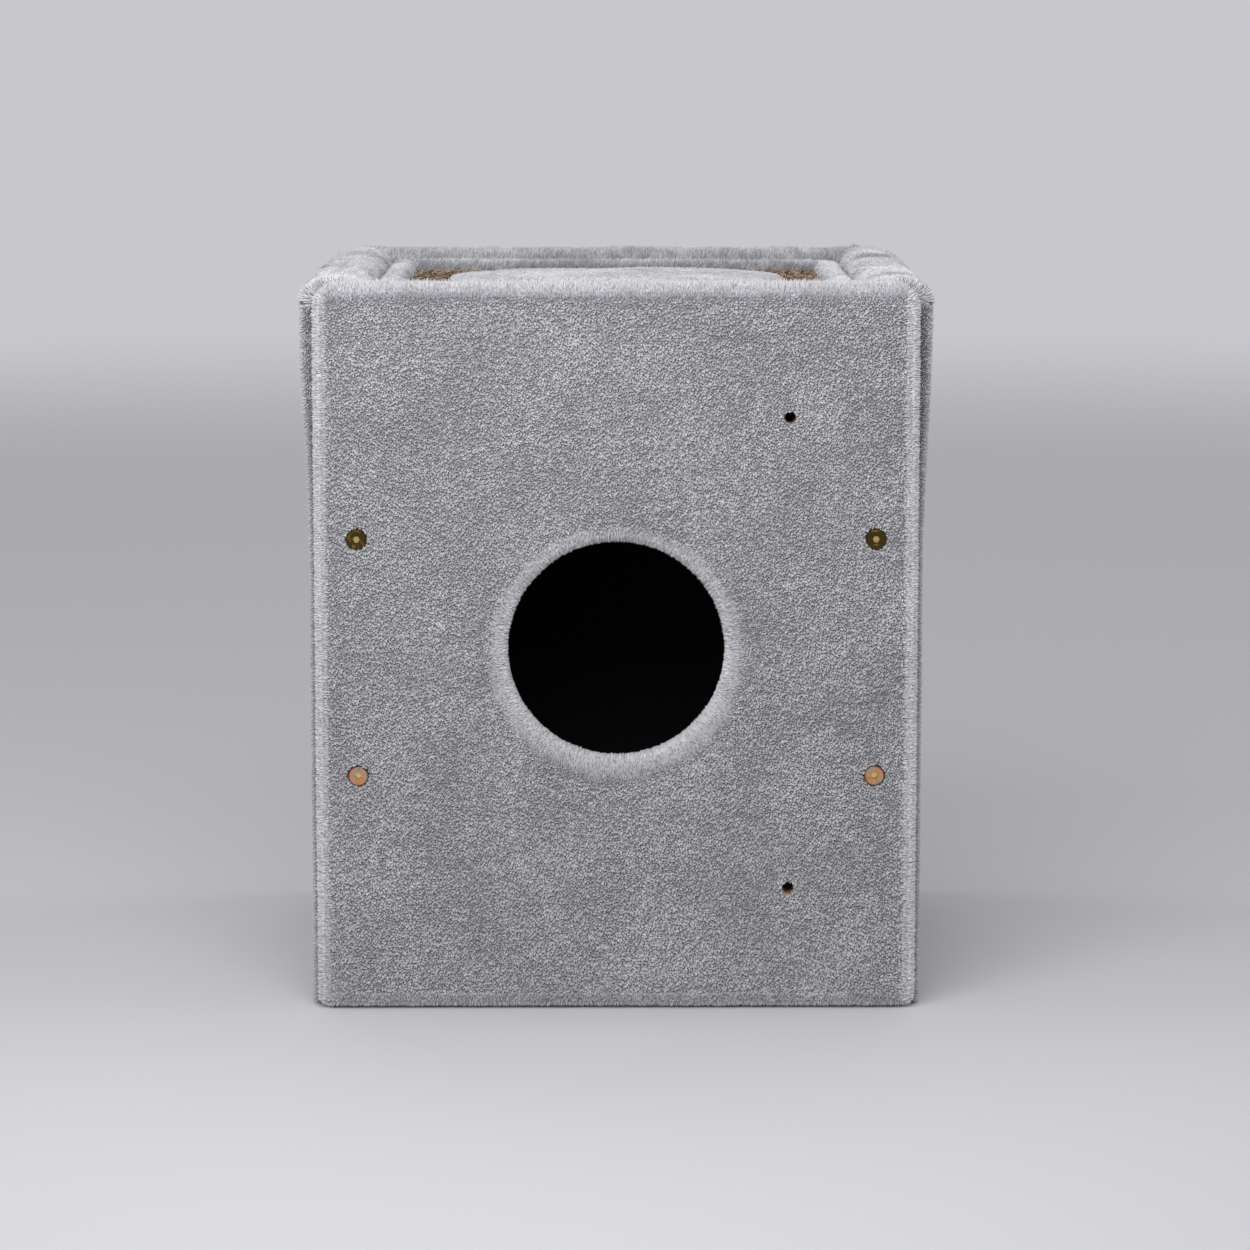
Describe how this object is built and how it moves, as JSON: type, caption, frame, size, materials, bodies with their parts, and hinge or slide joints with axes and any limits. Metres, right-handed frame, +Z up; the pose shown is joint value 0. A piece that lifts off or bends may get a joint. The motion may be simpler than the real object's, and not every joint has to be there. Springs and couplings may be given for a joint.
{
  "type": "cat condo",
  "caption": "Plush-covered box for a cat with a round entry hole in a bolted-on front panel and a shallow padded tray with a loose cushion on top.",
  "frame": {"origin": "on the floor, under the middle of the box", "axes": "+Z up, -Y towards the front with the entry hole, +X to the right seen from the front"},
  "size_m": [0.518, 0.46, 0.6015],
  "materials": {
    "plush": "light grey short-pile plush",
    "cushion_plush": "light grey short-pile plush, padded",
    "looped_mat": "coarse brown looped pile",
    "felt": "dark charcoal needle felt",
    "foam": "cut upholstery foam",
    "board": "raw chipboard",
    "batten": "planed softwood",
    "yellow_zinc": "yellow passivated zinc",
    "zinc": "bright zinc"
  },
  "bodies": {
    "condo": {"front_panel": "board", "front_cover": "plush", "left_panel": "board", "right_panel": "board", "back_panel": "board", "base_panel": "board", "deck_panel": "board", "front_left_batten": "batten", "front_right_batten": "batten", "rear_left_batten": "batten", "rear_right_batten": "batten", "insert_nuts": "zinc", "connector_bolts": "yellow_zinc", "batten_screws": "zinc", "base_screws": "zinc", "deck_screws": "zinc", "back_screws": "zinc", "left_cover": "plush", "right_cover": "plush", "back_cover": "plush", "rim_foam": "foam", "rim_cover": "plush", "inner_roll": "plush", "scratch_mat": "looped_mat", "left_lining": "felt", "right_lining": "felt", "back_lining": "felt", "floor_lining": "felt", "deck_lining": "felt"},
    "cushion": {"cushion": "cushion_plush"}
  },
  "joints": [
    {"name": "cushion_lift", "type": "slide", "parent": "condo", "child": "cushion", "axis": [0, 0, 1], "range_m": [0, 0.2]}
  ]
}
